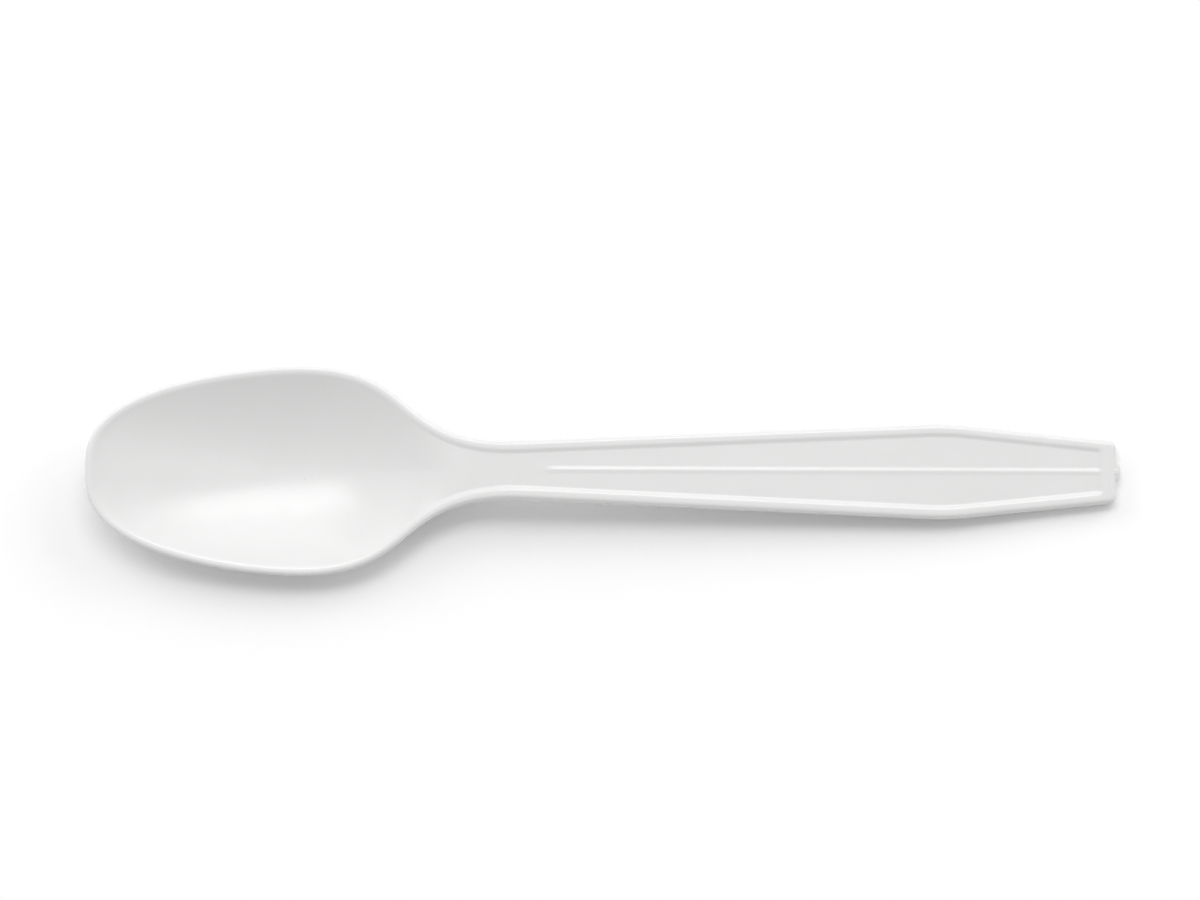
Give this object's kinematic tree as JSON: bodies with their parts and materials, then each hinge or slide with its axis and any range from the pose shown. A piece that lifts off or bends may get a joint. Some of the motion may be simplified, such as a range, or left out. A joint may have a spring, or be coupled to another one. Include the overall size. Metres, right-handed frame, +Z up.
{
  "type": "plastic spoon",
  "caption": "Disposable moulded spoon with an egg-shaped bowl, a narrow neck and a flat handle with raised edges, a middle rib and a tapered end.",
  "frame": {"origin": "on the table, under the middle of the spoon's bounding box as it lies", "axes": "+X from the bowl to the end of the handle, +Z up from the table"},
  "size_m": [0.1456, 0.0296, 0.0074],
  "materials": {
    "white_plastic": "white moulded polystyrene, softly glossy, as it left the tool"
  },
  "bodies": {
    "root": {"spoon": "white_plastic"}
  },
  "joints": []
}
